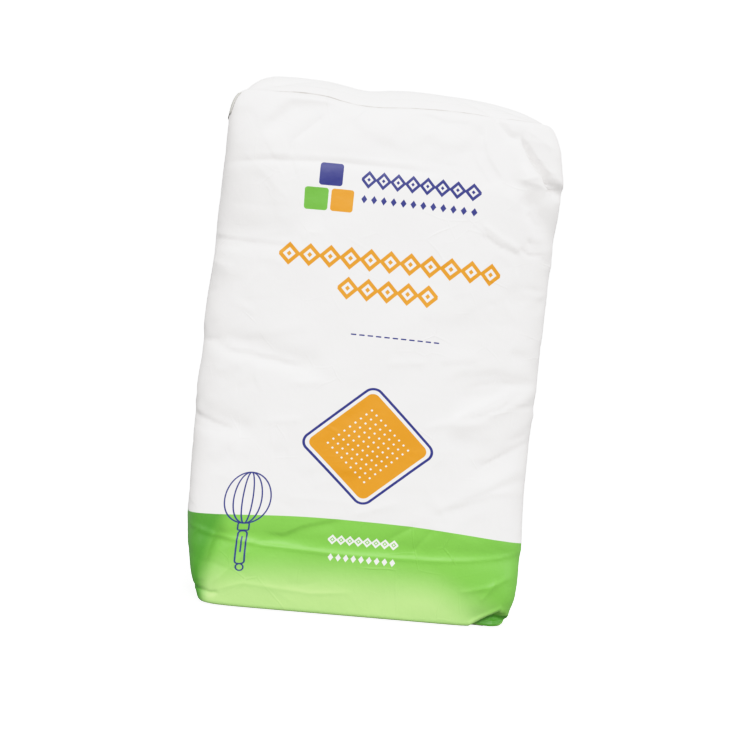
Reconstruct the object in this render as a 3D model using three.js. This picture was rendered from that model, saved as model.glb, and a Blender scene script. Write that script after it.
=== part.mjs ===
// A filled 25 kg paper valve sack of icing sugar, standing on its flat block bottom.
// Millimetres, +Z up, the printed front faces -Y, the origin is the middle of the base.
//
// The sack is one closed body: a flat paper tube, 490 mm wide before filling, opened into a
// block bottom at each end and swollen by its contents. Three paper pieces lie on it: a cover
// strip glued over the folds at each end, and the lip of the filling valve at the top left.

import * as THREE from 'three';

// Overall sizes of the filled sack.
const BELLY_HALF_WIDTH = 200;
const BELLY_HALF_DEPTH = 82;
const RIM_HEIGHT = 590;

// The folded ends are narrower than the belly: how far each side draws in, and over what height.
const BASE_DRAW = {
  left: { depth: 24, reach: 52 },
  right: { depth: 15, reach: 22 },
  depthwise: { depth: 10, reach: 75 },
};
const TOP_DRAW = {
  left: { depth: 13, reach: 10 },
  right: { depth: 25, reach: 30 },
  depthwise: { depth: 13, reach: 75 },
};

// Off the even form: the right side swells a little under its slumped top corner, the left side
// slims upwards, the rim dips where the valve sleeve stops and slumps at its right end.
const RIGHT_SWELL = { height: 510, reach: 55, out: 1.5 };
const LEFT_SLIM = { from: 280, to: 470, in: 4 };
const RIM_DIP = { x: -38, depth: 5.5, backReach: 6, frontReach: 44 };
const RIM_SLUMP = { from: 80, to: 200, depth: 6, frontShare: 0.25 };

// The top end is domed over its rim: steep at the left end, which the valve sleeve fills out,
// and easing down to the slumped right end.
const DOME = {
  rise: 23.2,
  leftPower: 14,
  rightPower: 8,
  depthPower: 2.8,
  easing: { from: 20, to: 190, share: 0.25 },
  dip: { x: -44, reach: 18, share: 0.03 },
};

// A section is a superellipse, nearly a rectangle at the folded ends and an oval at the belly.
const BELLY_SQUARENESS = 2.9;
const END_SQUARENESS = 9;
const SQUARENESS_REACH = 80;
const SQUARENESS_FADE = 1.5;

// Rounding of the paper where a wall turns into an end.
const EDGE_RADIUS = 5;
const EDGE_ROWS = 3;

// Paper that is glued on: its thickness in this model and the gap kept under it.
const PAPER = 0.9;
const GAP = 0.3;
const BASE_LIFT = PAPER + GAP;
const BOTTOM_COVER = { width: 322, depth: 108 };
const VALVE_LIP = { rows: 3, frontLayer: 1, rearLayer: 2, topStandOff: 0.3, footStandOff: 3, flare: 1.5 };

// Lattice of the skin: columns across the width, layers through the depth, rows up the height.
const COLUMNS = 30;
const LAYERS = 10;
const ROWS = 38;
const ROW_CROWDING = 0.09;

// Soft folds of the walls, pressed in (depth above 0) or standing out (below 0). Each runs on
// the wall named, from one place to another given as [x, z], and fades over its width.
const FOLDS = [
  { wall: 'front', from: [150, 572], to: [206, 520], width: 17, depth: 6.5 },
  { wall: 'front', from: [160, 592], to: [206, 556], width: 14, depth: -2 },
  { wall: 'front', from: [112, 584], to: [132, 520], width: 14, depth: 3.5 },
  { wall: 'front', from: [150, 528], to: [206, 520], width: 11, depth: -3.5 },
  { wall: 'front', from: [160, 492], to: [206, 448], width: 13, depth: 4.5 },
  { wall: 'front', from: [118, 270], to: [206, 292], width: 16, depth: 4.5 },
  { wall: 'front', from: [105, 236], to: [204, 290], width: 13, depth: -3 },
  { wall: 'front', from: [140, 186], to: [206, 222], width: 14, depth: 3 },
  { wall: 'front', from: [150, 14], to: [192, 26], width: 12, depth: 7 },
  { wall: 'front', from: [-206, 222], to: [-146, 205], width: 13, depth: 4 },
  { wall: 'front', from: [-206, 312], to: [-78, 288], width: 13, depth: 3 },
  { wall: 'front', from: [-206, 428], to: [-120, 430], width: 14, depth: 2.5 },
  { wall: 'front', from: [-202, 514], to: [40, 528], width: 10, depth: 2.5 },
  { wall: 'front', from: [-204, 84], to: [206, 84], width: 11, depth: 2 },
  { wall: 'front', from: [-176, 8], to: [-158, 74], width: 11, depth: 4 },
  { wall: 'back', from: [206, 500], to: [120, 476], width: 16, depth: 4 },
  { wall: 'back', from: [206, 352], to: [96, 366], width: 15, depth: 3.5 },
  { wall: 'back', from: [206, 150], to: [128, 196], width: 14, depth: 3.5 },
  { wall: 'back', from: [-206, 540], to: [-132, 498], width: 15, depth: 4 },
  { wall: 'back', from: [-206, 300], to: [-104, 322], width: 15, depth: 3.5 },
  { wall: 'back', from: [-206, 118], to: [-136, 90], width: 14, depth: 3.5 },
];

// Finishes.
const WHITE_PAPER = { color: 0xf3f3f4, roughness: 0.5, metalness: 0 };
const COVER_PAPER = { color: 0xf6f6f6, roughness: 0.6, metalness: 0 };
const VALVE_PAPER = { color: 0xd9d8d2, roughness: 0.75, metalness: 0 };

const clamp01 = (value) => Math.min(1, Math.max(0, value));

function smoothStep(low, high, value) {
  const t = clamp01((value - low) / (high - low));
  return t * t * (3 - 2 * t);
}

// Smooth hump of height 1 that fades over its reach.
const bell = (offset, reach) => Math.exp(-((offset / reach) ** 2));

// How much of an end's drawing in is left at a height, for one side.
function drawnIn(base, top, height) {
  return base.depth * Math.exp(-height / base.reach)
    + top.depth * Math.exp(-(RIM_HEIGHT - height) / top.reach);
}

function halfWidth(isRight, height) {
  const side = isRight ? 'right' : 'left';
  const change = isRight
    ? RIGHT_SWELL.out * bell(height - RIGHT_SWELL.height, RIGHT_SWELL.reach)
    : -LEFT_SLIM.in * smoothStep(LEFT_SLIM.from, LEFT_SLIM.to, height);
  return BELLY_HALF_WIDTH - drawnIn(BASE_DRAW[side], TOP_DRAW[side], height) + change;
}

function halfDepth(height) {
  return BELLY_HALF_DEPTH - drawnIn(BASE_DRAW.depthwise, TOP_DRAW.depthwise, height);
}

function squareness(height) {
  const nearest = Math.max(0, Math.min(height, RIM_HEIGHT - height));
  return BELLY_SQUARENESS
    + (END_SQUARENESS - BELLY_SQUARENESS) * Math.exp(-((nearest / SQUARENESS_REACH) ** SQUARENESS_FADE));
}

// Height of the rim, where the walls meet the top end. Its dip is wider at the front, and its
// slump is deeper at the back.
function rimHeight(x, through) {
  const frontness = (1 - through) / 2;
  const dipReach = RIM_DIP.backReach + (RIM_DIP.frontReach - RIM_DIP.backReach) * frontness;
  const dip = RIM_DIP.depth * bell(x - RIM_DIP.x, dipReach);
  const slumpShare = 1 - (1 - RIM_SLUMP.frontShare) * frontness;
  const slump = RIM_SLUMP.depth * slumpShare * smoothStep(RIM_SLUMP.from, RIM_SLUMP.to, x);
  return RIM_HEIGHT - dip - slump;
}

// Rise of the top end above its rim at box coordinates.
function domeRise(x, across, through) {
  const along = 1 - DOME.easing.share * smoothStep(DOME.easing.from, DOME.easing.to, x)
    - DOME.dip.share * bell(x - DOME.dip.x, DOME.dip.reach);
  const endFall = 1 - Math.abs(across) ** (across < 0 ? DOME.leftPower : DOME.rightPower);
  return DOME.rise * along * endFall * (1 - Math.abs(through) ** DOME.depthPower);
}

// How deep the folds of one wall press at a place on it.
function foldDepth(wall, x, z) {
  let total = 0;
  for (const fold of FOLDS) {
    if (fold.wall !== wall) continue;
    const runX = fold.to[0] - fold.from[0];
    const runZ = fold.to[1] - fold.from[1];
    const along = clamp01(((x - fold.from[0]) * runX + (z - fold.from[1]) * runZ)
      / (runX ** 2 + runZ ** 2));
    const offset = Math.hypot(x - fold.from[0] - along * runX, z - fold.from[1] - along * runZ);
    total += fold.depth * bell(offset, fold.width);
  }
  return total;
}

// Place on a section for box coordinates (across, through), each from -1 to 1 on its border.
function sectionPoint(across, through, height) {
  const power = squareness(height);
  const norm = (Math.abs(across) ** power + Math.abs(through) ** power) ** (1 / power);
  const x = halfWidth(across > 0, height) * across / norm;
  const y = halfDepth(height) * through / norm;
  return [x, y];
}

// Place on the wall at a share of its height, with the edge roundings and the folds.
function wallPoint(across, through, share) {
  const [rimX] = sectionPoint(across, through, RIM_HEIGHT);
  const rim = rimHeight(rimX, through);
  const height = share * rim;
  const [x, y] = sectionPoint(across, through, height * RIM_HEIGHT / rim);
  const fromEdge = Math.min(height, rim - height);
  const rounding = fromEdge < EDGE_RADIUS
    ? EDGE_RADIUS - Math.sqrt(EDGE_RADIUS ** 2 - (EDGE_RADIUS - fromEdge) ** 2) : 0;
  const wall = through < 0 ? 'front' : 'back';
  const facing = Math.abs(y) / halfDepth(height);
  const press = rounding + foldDepth(wall, x, height) * facing;
  const length = Math.hypot(x / BELLY_HALF_WIDTH ** 2, y / BELLY_HALF_DEPTH ** 2);
  const outX = x / BELLY_HALF_WIDTH ** 2 / length;
  const outY = y / BELLY_HALF_DEPTH ** 2 / length;
  return new THREE.Vector3(x - press * outX, y - press * outY, BASE_LIFT + height);
}

// Place on an end: rings of its border drawn towards the middle line.
function endPoint(across, through, isTop) {
  const reach = Math.max(Math.abs(across), Math.abs(through));
  if (reach === 0) {
    return new THREE.Vector3(0, 0, BASE_LIFT + (isTop ? rimHeight(0, 0) + domeRise(0, 0, 0) : 0));
  }
  const border = wallPoint(across / reach, through / reach, isTop ? 1 : 0);
  const x = border.x * reach;
  const rise = isTop ? rimHeight(x, through) + domeRise(x, across, through) : 0;
  return new THREE.Vector3(x, border.y * reach, BASE_LIFT + rise);
}

// Shares of the height at which the rows lie: the edge roundings first, then even steps.
function rowShares() {
  const edge = EDGE_RADIUS / RIM_HEIGHT;
  const roundings = Array.from({ length: EDGE_ROWS }, (_, row) =>
    edge * (1 - Math.cos(row / EDGE_ROWS * Math.PI / 2)));
  const inner = ROWS - 2 * EDGE_ROWS;
  const walls = Array.from({ length: inner + 1 }, (_, row) => {
    const even = row / inner;
    return edge + (1 - 2 * edge) * (even - ROW_CROWDING * Math.sin(2 * Math.PI * even));
  });
  return [...roundings, ...walls, ...roundings.map((share) => 1 - share).reverse()];
}

// Lattice coordinate from -1 to 1.
const spread = (index, count) => 2 * index / count - 1;

// Closed mesh from named points and quads that face outwards.
class Shell {
  constructor() {
    this.positions = [];
    this.indices = [];
    this.known = new Map();
  }

  point(key, make) {
    if (!this.known.has(key)) {
      const place = make();
      this.known.set(key, this.positions.length / 3);
      this.positions.push(place.x, place.y, place.z);
    }
    return this.known.get(key);
  }

  // Corners run anticlockwise as seen from outside.
  quad(a, b, c, d) {
    this.indices.push(a, b, c, a, c, d);
  }

  geometry() {
    const made = new THREE.BufferGeometry();
    made.setAttribute('position', new THREE.Float32BufferAttribute(this.positions, 3));
    made.setIndex(this.indices);
    made.computeVertexNormals();
    return made;
  }
}

function sackGeometry() {
  const shell = new Shell();
  const shares = rowShares();
  const at = (column, layer, row) => shell.point(`${column} ${layer} ${row}`, () => {
    const across = spread(column, COLUMNS);
    const through = spread(layer, LAYERS);
    const isOnWall = Math.abs(across) === 1 || Math.abs(through) === 1;
    return isOnWall ? wallPoint(across, through, shares[row]) : endPoint(across, through, row > 0);
  });
  for (let row = 0; row < ROWS; row += 1) {
    for (let column = 0; column < COLUMNS; column += 1) {
      shell.quad(at(column, 0, row), at(column + 1, 0, row),
        at(column + 1, 0, row + 1), at(column, 0, row + 1));
      shell.quad(at(column + 1, LAYERS, row), at(column, LAYERS, row),
        at(column, LAYERS, row + 1), at(column + 1, LAYERS, row + 1));
    }
    for (let layer = 0; layer < LAYERS; layer += 1) {
      shell.quad(at(COLUMNS, layer, row), at(COLUMNS, layer + 1, row),
        at(COLUMNS, layer + 1, row + 1), at(COLUMNS, layer, row + 1));
      shell.quad(at(0, layer + 1, row), at(0, layer, row),
        at(0, layer, row + 1), at(0, layer + 1, row + 1));
    }
  }
  for (let column = 0; column < COLUMNS; column += 1) {
    for (let layer = 0; layer < LAYERS; layer += 1) {
      shell.quad(at(column, layer, ROWS), at(column + 1, layer, ROWS),
        at(column + 1, layer + 1, ROWS), at(column, layer + 1, ROWS));
      shell.quad(at(column, layer + 1, 0), at(column + 1, layer + 1, 0),
        at(column + 1, layer, 0), at(column, layer, 0));
    }
  }
  return shell.geometry();
}

// Sheet of paper laid over a patch of points: makePair gives the place of its under and outer
// face at each node of the patch, and across, up and outwards are right-handed.
function sheetGeometry(acrossCount, upCount, makePair) {
  const shell = new Shell();
  const at = (across, up, isOuter) => shell.point(`${across} ${up} ${isOuter}`,
    () => makePair(across, up)[isOuter ? 1 : 0]);
  for (let across = 0; across < acrossCount; across += 1) {
    for (let up = 0; up < upCount; up += 1) {
      shell.quad(at(across, up, true), at(across + 1, up, true),
        at(across + 1, up + 1, true), at(across, up + 1, true));
      shell.quad(at(across, up, false), at(across, up + 1, false),
        at(across + 1, up + 1, false), at(across + 1, up, false));
    }
    shell.quad(at(across, 0, false), at(across + 1, 0, false),
      at(across + 1, 0, true), at(across, 0, true));
    shell.quad(at(across + 1, upCount, false), at(across, upCount, false),
      at(across, upCount, true), at(across + 1, upCount, true));
  }
  for (let up = 0; up < upCount; up += 1) {
    shell.quad(at(acrossCount, up, false), at(acrossCount, up + 1, false),
      at(acrossCount, up + 1, true), at(acrossCount, up, true));
    shell.quad(at(0, up + 1, false), at(0, up, false),
      at(0, up, true), at(0, up + 1, true));
  }
  return shell.geometry();
}

// The top cover strip follows the top end node by node, so it lies evenly on it.
function topCoverGeometry() {
  const firstColumn = 2;
  const firstLayer = 1;
  const acrossCount = COLUMNS - 2 * firstColumn;
  const upCount = LAYERS - 2 * firstLayer;
  return sheetGeometry(acrossCount, upCount, (across, up) => {
    const under = endPoint(spread(across + firstColumn, COLUMNS), spread(up + firstLayer, LAYERS), true);
    under.z += GAP;
    return [under, under.clone().setZ(under.z + PAPER)];
  });
}

// The bottom cover strip is what the sack stands on: flat, inside the folded edges.
function bottomCoverGeometry() {
  return new THREE.BoxGeometry(BOTTOM_COVER.width, BOTTOM_COVER.depth, PAPER)
    .translate(0, 0, PAPER / 2);
}

// The valve lip hugs the left wall from the rim down and stands away from it at its foot.
function valveLipGeometry() {
  const shares = rowShares();
  const acrossCount = LAYERS - VALVE_LIP.frontLayer - VALVE_LIP.rearLayer;
  const lowestRow = ROWS - EDGE_ROWS - VALVE_LIP.rows;
  return sheetGeometry(acrossCount, VALVE_LIP.rows, (across, up) => {
    const layer = LAYERS - VALVE_LIP.rearLayer - across;
    const place = wallPoint(-1, spread(layer, LAYERS), shares[lowestRow + up]);
    const flare = VALVE_LIP.footStandOff * (1 - up / VALVE_LIP.rows) ** VALVE_LIP.flare;
    const under = place.clone().setX(place.x - GAP - VALVE_LIP.topStandOff - flare);
    return [under, under.clone().setX(under.x - PAPER)];
  });
}

function namedMesh(name, geometry, finish) {
  const mesh = new THREE.Mesh(geometry, new THREE.MeshStandardMaterial(finish));
  mesh.name = name;
  return mesh;
}

const sugarSack = new THREE.Group();
sugarSack.add(
  namedMesh('paper_sack', sackGeometry(), WHITE_PAPER),
  namedMesh('top_cover_strip', topCoverGeometry(), COVER_PAPER),
  namedMesh('bottom_cover_strip', bottomCoverGeometry(), COVER_PAPER),
  namedMesh('valve_lip', valveLipGeometry(), VALVE_PAPER),
);

export default sugarSack;
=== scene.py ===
"""Looks of a filled paper valve sack of icing sugar that stands on its block bottom.

Sizes are in millimetres and are turned to metres where a mesh is made. +Z is up, the printed front
faces -Y and the origin is the middle of the base. Places on the paper are given as (girth, height):
the distance round the sack from the middle of its front, and the height up the paper.
"""

import logging
import math
from dataclasses import dataclass
from enum import Enum
from typing import Any

import bmesh
import bpy
import numpy as np
from mathutils import Matrix, Vector


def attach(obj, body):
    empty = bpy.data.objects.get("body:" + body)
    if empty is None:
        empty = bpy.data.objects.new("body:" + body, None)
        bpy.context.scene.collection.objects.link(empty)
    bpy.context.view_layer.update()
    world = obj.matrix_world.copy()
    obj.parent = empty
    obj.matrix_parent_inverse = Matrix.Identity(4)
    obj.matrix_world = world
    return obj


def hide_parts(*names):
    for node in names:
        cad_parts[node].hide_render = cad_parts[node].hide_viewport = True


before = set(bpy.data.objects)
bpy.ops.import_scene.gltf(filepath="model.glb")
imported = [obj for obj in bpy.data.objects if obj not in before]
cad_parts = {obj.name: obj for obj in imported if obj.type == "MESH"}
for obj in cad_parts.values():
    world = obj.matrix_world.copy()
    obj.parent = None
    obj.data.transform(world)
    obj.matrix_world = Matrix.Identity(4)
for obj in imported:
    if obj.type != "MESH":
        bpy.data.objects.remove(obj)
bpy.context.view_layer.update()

MM = 0.001
LOG = logging.getLogger("sugar_sack")
EASED = {"interpolation_type": "SMOOTHSTEP"}
Array = np.ndarray
Place = tuple[float, float]


def smooth_step(low: float, high: float, value: Array | float) -> Array | float:
    """Rises smoothly from 0 at low to 1 at high."""
    t = np.clip((value - low) / (high - low), 0.0, 1.0)
    return t * t * (3.0 - 2.0 * t)


def bell(offset: Array | float, reach: Array | float) -> Array | float:
    """Smooth hump of height 1 that fades over its reach."""
    return np.exp(-((offset / reach) ** 2))


def linear(code: str) -> tuple[float, float, float, float]:
    """Turns an sRGB colour into the linear one that shaders take.

    Args:
        code: The colour as six hexadecimal digits.

    Returns:
        Red, green, blue and an alpha of 1.
    """
    parts = [int(code[i:i + 2], 16) / 255.0 for i in (0, 2, 4)]
    red, green, blue = (p / 12.92 if p <= 0.04045 else ((p + 0.055) / 1.055) ** 2.4 for p in parts)
    return red, green, blue, 1.0


def add_node(tree: bpy.types.NodeTree, kind: str, settings: dict[str, Any] | None = None,
             inputs: dict[Any, Any] | None = None, out: int | str = 0) -> bpy.types.NodeSocket:
    """Adds one node, sets it up and links it.

    Args:
        tree: The node tree to add to.
        kind: Blender's name of the node's type.
        settings: Attributes of the node to set.
        inputs: Values or sockets for its inputs, by name or number.
        out: The output that is wanted, by name or number.

    Returns:
        That output of the new node.
    """
    node = tree.nodes.new(kind)
    for name, value in (settings or {}).items():
        setattr(node, name, value)
    for key, value in (inputs or {}).items():
        if isinstance(value, bpy.types.NodeSocket):
            tree.links.new(value, node.inputs[key])
        else:
            node.inputs[key].default_value = value
    return node.outputs[out]


def work_out(tree: bpy.types.NodeTree, value: Any, *steps: tuple[Any, ...]) -> bpy.types.NodeSocket:
    """Adds a chain of sums, each of which works on the result of the one before.

    Args:
        tree: The node tree to add to.
        value: What the first step works on: a socket, a number, or three numbers for a vector.
        steps: The operation of each step, with the other values that it takes.

    Returns:
        The socket of the last result.
    """
    for operation, *others in steps:
        is_vector = isinstance(value, tuple) or getattr(value, "type", "") in ("VECTOR", "RGBA")
        kind = "ShaderNodeVectorMath" if is_vector else "ShaderNodeMath"
        out = "Value" if operation in ("LENGTH", "DOT_PRODUCT") else 0
        value = add_node(tree, kind, {"operation": operation}, dict(enumerate((value, *others))), out)
    return value


def new_object(name: str, mesh: bpy.types.Mesh, material: bpy.types.Material | None) -> bpy.types.Object:
    """Links a new object into the scene.

    Args:
        name: Its name.
        mesh: Its mesh.
        material: What the mesh is made of, or None to leave it as it is.

    Returns:
        The object.
    """
    made = bpy.data.objects.new(name, mesh)
    bpy.context.scene.collection.objects.link(made)
    if material is not None:
        mesh.materials.clear()
        mesh.materials.append(material)
    return made


def mesh_from(name: str, points: Array, faces: list[list[int]]) -> bpy.types.Mesh:
    """Makes a smooth mesh.

    Args:
        name: Its name.
        points: Its points in millimetres.
        faces: Its faces, which face outwards.

    Returns:
        The mesh, in metres.
    """
    mesh = bpy.data.meshes.new(name)
    mesh.from_pydata((points * MM).tolist(), [], faces)
    mesh.update()
    mesh.shade_smooth()
    return mesh


@dataclass(frozen=True)
class Draw:
    """How far one side of the sack draws in at an end, and over what height."""

    depth: float
    reach: float


@dataclass(frozen=True)
class SackForm:
    """The even form of the filled sack, with the sizes of the CAD part."""

    belly_half_width: float = 200.0
    belly_half_depth: float = 82.0
    rim_height: float = 590.0
    base_left: Draw = Draw(24.0, 52.0)
    base_right: Draw = Draw(15.0, 22.0)
    base_depthwise: Draw = Draw(10.0, 75.0)
    top_left: Draw = Draw(13.0, 10.0)
    top_right: Draw = Draw(25.0, 30.0)
    top_depthwise: Draw = Draw(13.0, 75.0)
    swell_height: float = 510.0
    swell_reach: float = 55.0
    swell_out: float = 1.5
    slim_from: float = 280.0
    slim_to: float = 470.0
    slim_in: float = 4.0
    dip_x: float = -38.0
    dip_depth: float = 5.5
    dip_back_reach: float = 6.0
    dip_front_reach: float = 44.0
    slump_from: float = 80.0
    slump_to: float = 200.0
    slump_depth: float = 6.0
    slump_front_share: float = 0.25
    dome_rise: float = 23.2
    dome_left_power: float = 14.0
    dome_right_power: float = 8.0
    dome_depth_power: float = 2.8
    dome_ease_from: float = 20.0
    dome_ease_to: float = 190.0
    dome_ease_share: float = 0.25
    dome_dip_x: float = -44.0
    dome_dip_reach: float = 18.0
    dome_dip_share: float = 0.03
    belly_squareness: float = 2.9
    end_squareness: float = 9.0
    squareness_reach: float = 80.0
    squareness_fade: float = 1.5
    edge_radius: float = 5.0
    base_lift: float = 1.2

    def drawn_in(self, base: Draw, top: Draw, height: Array) -> Array:
        """How far one side is drawn in at a height."""
        return (base.depth * np.exp(-height / base.reach)
                + top.depth * np.exp(-(self.rim_height - height) / top.reach))

    def half_width(self, is_right: Array, height: Array) -> Array:
        """Half the width of the sack.

        Args:
            is_right: Whether the right half is asked for.
            height: Height of each point.

        Returns:
            Half the width on that side.
        """
        swell = self.swell_out * bell(height - self.swell_height, self.swell_reach)
        slim = self.slim_in * smooth_step(self.slim_from, self.slim_to, height)
        right = swell - self.drawn_in(self.base_right, self.top_right, height)
        left = -slim - self.drawn_in(self.base_left, self.top_left, height)
        return self.belly_half_width + np.where(is_right, right, left)

    def half_depth(self, height: Array) -> Array:
        """Half the depth of the sack at a height."""
        return self.belly_half_depth - self.drawn_in(self.base_depthwise, self.top_depthwise, height)

    def squareness(self, height: Array) -> Array:
        """Power of the section: nearly a rectangle at the ends, an oval at the belly.

        Args:
            height: Height of each point.

        Returns:
            The power of the section there.
        """
        nearest = np.maximum(0.0, np.minimum(height, self.rim_height - height))
        more = self.end_squareness - self.belly_squareness
        fade = (nearest / self.squareness_reach) ** self.squareness_fade
        return self.belly_squareness + more * np.exp(-fade)

    def section(self, across: Array, through: Array, height: Array) -> tuple[Array, Array]:
        """Place on a section.

        Args:
            across: Box coordinate across the width, from -1 to 1.
            through: Box coordinate through the depth, from -1 to 1.
            height: Height of each point.

        Returns:
            The x and y of each point.
        """
        power = self.squareness(height)
        norm = (np.abs(across) ** power + np.abs(through) ** power) ** (1.0 / power)
        return (self.half_width(across > 0, height) * across / norm,
                self.half_depth(height) * through / norm)

    def rim(self, x: Array, through: Array) -> Array:
        """Height of the rim, where the walls meet the top end.

        Args:
            x: Place of each point across the width.
            through: Box coordinate through the depth.

        Returns:
            The height, lower in the dip and where the right end slumps.
        """
        frontness = (1.0 - through) / 2.0
        reach = self.dip_back_reach + (self.dip_front_reach - self.dip_back_reach) * frontness
        dip = self.dip_depth * bell(x - self.dip_x, reach)
        share = 1.0 - (1.0 - self.slump_front_share) * frontness
        slump = self.slump_depth * share * smooth_step(self.slump_from, self.slump_to, x)
        return self.rim_height - dip - slump

    def dome(self, x: Array, across: Array, through: Array) -> Array:
        """Rise of the top end above its rim.

        Args:
            x: Place of each point across the width.
            across: Box coordinate across the width.
            through: Box coordinate through the depth.

        Returns:
            The rise of each point.
        """
        along = (1.0 - self.dome_ease_share * smooth_step(self.dome_ease_from, self.dome_ease_to, x)
                 - self.dome_dip_share * bell(x - self.dome_dip_x, self.dome_dip_reach))
        power = np.where(across < 0, self.dome_left_power, self.dome_right_power)
        depthwise = 1.0 - np.abs(through) ** self.dome_depth_power
        return self.dome_rise * along * (1.0 - np.abs(across) ** power) * depthwise

    def outward(self, x: Array, y: Array) -> tuple[Array, Array]:
        """Direction that points out of the wall.

        Args:
            x: Place of each point across the width.
            y: Place of each point through the depth.

        Returns:
            The x and y of a direction of length 1.
        """
        out_x = x / self.belly_half_width ** 2
        out_y = y / self.belly_half_depth ** 2
        length = np.hypot(out_x, out_y)
        return out_x / length, out_y / length


class Profile(Enum):
    """How the paper runs across a crease."""

    VALLEY = "pressed in along a line"
    RIDGE = "standing out along a line"
    FACET = "one side of the line higher than the other"
    FOLD = "deepest at the line, a flat facet rising above it and a sharp step below it"
    HOLLOW = "hollowed out below the line, with a sharp brow"


@dataclass(frozen=True)
class Crease:
    """A crease of the wall: a line of places on the paper, its width, its depth and its spread."""

    profile: Profile
    width: float
    depth: float
    line: tuple[Place, ...]
    spread: float = 1.0
    sharp_side: float = 1.5
    round_top: float = 0.7
    taper: float = 0.2
    facet_reach: float = 4.0

    def relief(self, girth: Array, height: Array) -> Array:
        """How far the crease moves the paper outwards.

        Args:
            girth: Distance round the sack of each point.
            height: Height of each point.

        Returns:
            The move of each point, negative where the paper is pressed in.
        """
        nearest = np.full(girth.shape, 1e6)
        side = np.zeros(girth.shape)
        along = np.zeros(girth.shape)
        lengths = [math.dist(a, b) for a, b in zip(self.line, self.line[1:])]
        done = 0.0
        for (start, end), length in zip(zip(self.line, self.line[1:]), lengths):
            run_g, run_h = (end[0] - start[0]) / length, (end[1] - start[1]) / length
            off_g, off_h = girth - start[0], height - start[1]
            share = np.clip(off_g * run_g + off_h * run_h, 0.0, length)
            away = np.hypot(off_g - share * run_g, off_h - share * run_h)
            closer = away < nearest
            nearest = np.where(closer, away, nearest)
            side = np.where(closer, off_h * run_g - off_g * run_h, side)
            along = np.where(closer, (done + share) / sum(lengths), along)
            done += length
        depth = self.depth * smooth_step(0.0, self.taper, along) * smooth_step(0.0, self.taper, 1.0 - along)
        width = self.width * (1.0 + (self.spread - 1.0) * along)
        depth = depth * width / (self.width * max(1.0, self.spread))
        if self.profile is Profile.FACET:
            return depth * np.tanh(side / width) * bell(nearest, width * self.facet_reach)
        if self.profile is Profile.FOLD:
            facet = np.clip(1.0 - nearest / width, 0.0, 1.0)
            return -depth * np.where(side > 0.0, facet, np.exp(-nearest / self.sharp_side))
        if self.profile is Profile.HOLLOW:
            return np.where(side > 0.0, 0.0, -depth * nearest / width * np.exp(1.0 - nearest / width))
        fall = np.exp(-(np.hypot(nearest, self.round_top) - self.round_top) / width)
        return (1.0 if self.profile is Profile.RIDGE else -1.0) * depth * fall


# How the front looks to the camera: shares of x and z, shifts, and how much x and z sway each other.
SEEN_WIDTH = 0.982
SEEN_SIDE = -8.2
SEEN_HEIGHT = 0.968
SEEN_RISE = 3.9
SEEN_SLOPE = -0.022
SEEN_TAPER = -2.5e-5
SEEN_FAN = 5.2e-5


def seen(*line: Place) -> tuple[Place, ...]:
    """Moves places read off the photograph to the true front of the sack.

    The front is nearer to the camera than the middle of the sack and is turned a little away
    from it, so it looks larger than it is, shifted, and slightly sheared.

    Args:
        line: Places as they look, in millimetres from the middle of the base.

    Returns:
        The same places on the sack.
    """
    return tuple((SEEN_WIDTH * x + SEEN_SIDE + SEEN_TAPER * x * z,
                  SEEN_HEIGHT * z + SEEN_RISE + SEEN_SLOPE * x + SEEN_FAN * x * z) for x, z in line)


# Broad folds that the CAD part has too: wall, start, end, width and depth (above 0 is pressed in).
BROAD_FOLDS = (
    ("front", (140, 568), (182, 511), 10, 2.2),
    ("front", (160, 592), (206, 556), 14, -2.0),
    ("front", (112, 584), (132, 520), 14, 3.5),
    ("front", (150, 528), (206, 520), 11, -3.5),
    ("front", (160, 492), (206, 448), 13, 4.5),
    ("front", (118, 270), (206, 292), 16, 2.6),
    ("front", (105, 236), (204, 290), 13, -3.0),
    ("front", (140, 186), (206, 222), 14, 3.0),
    ("front", (150, 8), (192, 18), 12, 4.0),
    ("front", (-206, 222), (-146, 205), 13, 4.0),
    ("front", (-206, 312), (-78, 288), 13, 3.0),
    ("front", (-206, 428), (-120, 430), 14, 2.5),
    ("front", (-202, 514), (40, 528), 12, 0.9),
    ("front", (-204, 84), (206, 84), 11, 2.0),
    ("front", (-176, 8), (-158, 74), 11, 4.0),
    ("back", (206, 500), (120, 476), 16, 4.0),
    ("back", (206, 352), (96, 366), 15, 3.5),
    ("back", (206, 150), (128, 196), 14, 3.5),
    ("back", (-206, 540), (-132, 498), 15, 4.0),
    ("back", (-206, 300), (-104, 322), 15, 3.5),
    ("back", (-206, 118), (-136, 90), 14, 3.5),
)

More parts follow.
